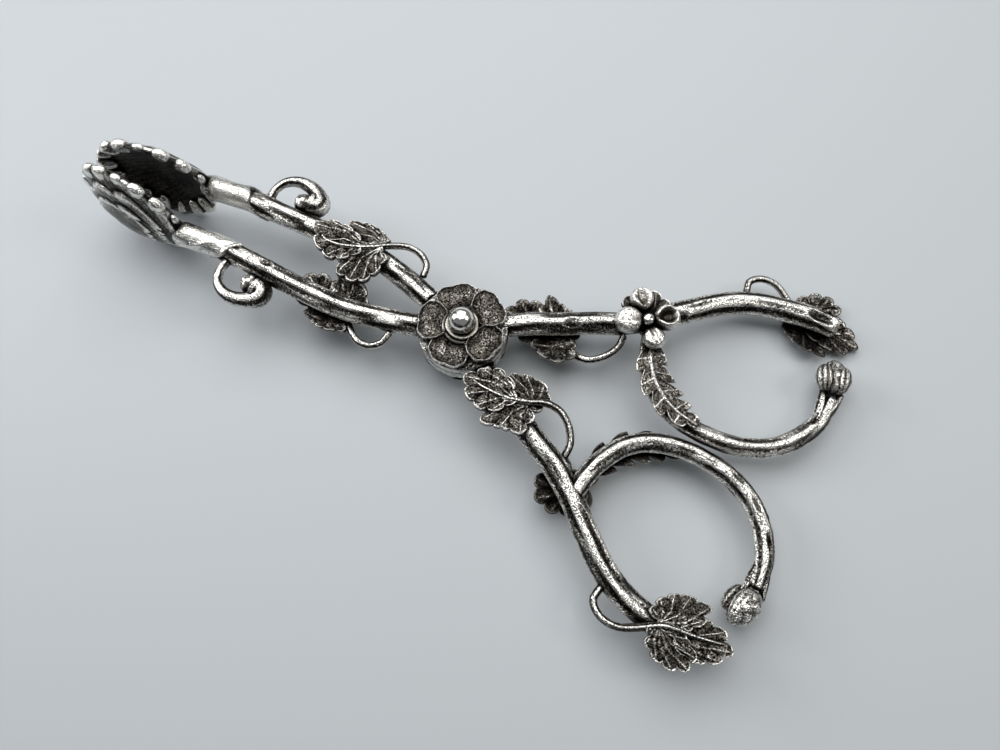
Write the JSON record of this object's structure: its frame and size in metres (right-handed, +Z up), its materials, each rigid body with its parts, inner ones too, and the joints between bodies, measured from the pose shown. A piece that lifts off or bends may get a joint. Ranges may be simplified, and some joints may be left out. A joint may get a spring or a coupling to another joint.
{
  "type": "sugar nippers",
  "caption": "Hinged silver nippers shaped as crossing vine branches, with facing scalloped shell jaws and open finger bows.",
  "frame": {"origin": "on the table under the middle of the whole, as the closed nippers lie on their shell rims, a blossom and an end leaf", "axes": "+X from the jaws to the finger bows, +Y towards the upper half's finger bow, +Z up"},
  "size_m": [0.1438, 0.0732, 0.0237],
  "materials": {
    "bark_silver": "cast silver with bark grooves, dark in the grooves and bright on the ridges",
    "stippled_silver": "cast and chased silver, stippled and darkened in the hollows",
    "shell_silver": "cast silver with darkened inside and polished petal tips",
    "polished_silver": "turned and polished silver"
  },
  "bodies": {
    "lower_half": {"lower_arm": "bark_silver", "lower_jaw_shell": "shell_silver", "lower_tendril": "bark_silver", "lower_tendril_bud": "bark_silver", "lower_front_leaf": "stippled_silver", "lower_handle_leaf": "stippled_silver", "lower_end_leaf": "stippled_silver", "lower_finger_bow": "bark_silver", "lower_bow_bud": "bark_silver", "lower_bow_leaf": "stippled_silver", "lower_blossom": "stippled_silver", "lower_blossom_bead": "polished_silver", "lower_rosette": "stippled_silver", "pivot_pin": "polished_silver", "upper_collar": "polished_silver", "lower_collar": "polished_silver", "pivot_finial": "polished_silver"},
    "upper_half": {"upper_arm": "bark_silver", "upper_jaw_shell": "shell_silver", "upper_tendril": "bark_silver", "upper_tendril_bud": "bark_silver", "upper_front_leaf": "stippled_silver", "upper_handle_leaf": "stippled_silver", "upper_end_leaf": "stippled_silver", "upper_finger_bow": "bark_silver", "upper_bow_bud": "bark_silver", "upper_bow_leaf": "stippled_silver", "upper_blossom": "stippled_silver", "upper_blossom_bead": "polished_silver", "upper_rosette": "stippled_silver"}
  },
  "joints": [
    {"name": "pivot", "type": "hinge", "parent": "lower_half", "child": "upper_half", "pos_m": [0.00678, -0.00055, 0.0078], "axis": [0.0595, 0.029, 0.9978], "range_deg": [0, 60]}
  ]
}
